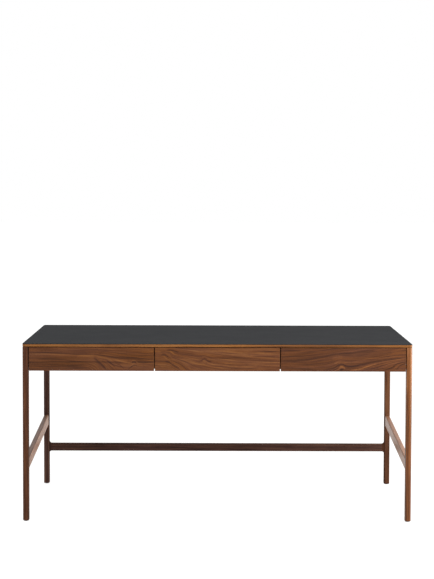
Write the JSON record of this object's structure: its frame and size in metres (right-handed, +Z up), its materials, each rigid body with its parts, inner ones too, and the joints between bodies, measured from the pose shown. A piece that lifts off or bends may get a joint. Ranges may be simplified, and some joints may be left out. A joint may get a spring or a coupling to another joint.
{
  "type": "desk",
  "caption": "Walnut writing desk: slender rounded legs, rising side stretchers, low rear stretcher, handleless drawers on wooden runners and a thin top with a dark linoleum sheet.",
  "frame": {"origin": "on the floor under the middle of the desk", "axes": "+Z up, the drawers face -Y, +X to the right of someone who sits at the desk"},
  "size_m": [1.6, 0.75, 0.735],
  "materials": {
    "walnut_leg": "oiled walnut, grain along each piece",
    "walnut_front": "oiled walnut, grain running across all the fronts",
    "walnut_edge": "oiled walnut lipping, warmer than the fronts",
    "walnut_inner": "plain oiled walnut inside the desk",
    "linoleum": "matt charcoal furniture linoleum",
    "beech": "waxed beech",
    "steel": "zinc plated screws",
    "nylon": "dark moulded nylon"
  },
  "bodies": {
    "frame": {"leg_front_left": "walnut_leg", "leg_front_right": "walnut_leg", "leg_rear_left": "walnut_leg", "leg_rear_right": "walnut_leg", "foot_glide_front_left": "nylon", "foot_glide_front_right": "nylon", "foot_glide_rear_left": "nylon", "foot_glide_rear_right": "nylon", "side_stretcher_left": "walnut_leg", "side_stretcher_right": "walnut_leg", "rear_stretcher": "walnut_leg", "side_apron_left": "walnut_leg", "side_apron_right": "walnut_leg", "rear_apron": "walnut_leg", "front_top_rail": "walnut_inner", "front_bottom_rail": "walnut_inner", "divider_left": "walnut_inner", "divider_right": "walnut_inner", "runner_packer_left": "walnut_inner", "runner_packer_right": "walnut_inner", "left_drawer_runner_left": "beech", "left_drawer_runner_right": "beech", "middle_drawer_runner_left": "beech", "middle_drawer_runner_right": "beech", "right_drawer_runner_left": "beech", "right_drawer_runner_right": "beech", "top_core_panel": "walnut_inner", "top_lipping_front": "walnut_edge", "top_lipping_rear": "walnut_edge", "top_lipping_left": "walnut_edge", "top_lipping_right": "walnut_edge", "linoleum_sheet": "linoleum", "top_button_rear_left": "beech", "top_button_rear_middle": "beech", "top_button_rear_right": "beech", "top_button_side_left": "beech", "top_button_side_right": "beech"},
    "left_drawer": {"left_drawer_front": "walnut_front", "left_drawer_side_left": "walnut_inner", "left_drawer_side_right": "walnut_inner", "left_drawer_back": "walnut_inner", "left_drawer_bottom": "walnut_inner", "left_drawer_stop": "beech", "left_drawer_stop_screw": "steel"},
    "middle_drawer": {"middle_drawer_front": "walnut_front", "middle_drawer_side_left": "walnut_inner", "middle_drawer_side_right": "walnut_inner", "middle_drawer_back": "walnut_inner", "middle_drawer_bottom": "walnut_inner", "middle_drawer_stop": "beech", "middle_drawer_stop_screw": "steel"},
    "right_drawer": {"right_drawer_front": "walnut_front", "right_drawer_side_left": "walnut_inner", "right_drawer_side_right": "walnut_inner", "right_drawer_back": "walnut_inner", "right_drawer_bottom": "walnut_inner", "right_drawer_stop": "beech", "right_drawer_stop_screw": "steel"}
  },
  "joints": [
    {"name": "left_drawer_slide", "type": "slide", "parent": "frame", "child": "left_drawer", "axis": [0, -1, 0], "range_m": [0, 0.4]},
    {"name": "middle_drawer_slide", "type": "slide", "parent": "frame", "child": "middle_drawer", "axis": [0, -1, 0], "range_m": [0, 0.4]},
    {"name": "right_drawer_slide", "type": "slide", "parent": "frame", "child": "right_drawer", "axis": [0, -1, 0], "range_m": [0, 0.4]}
  ]
}
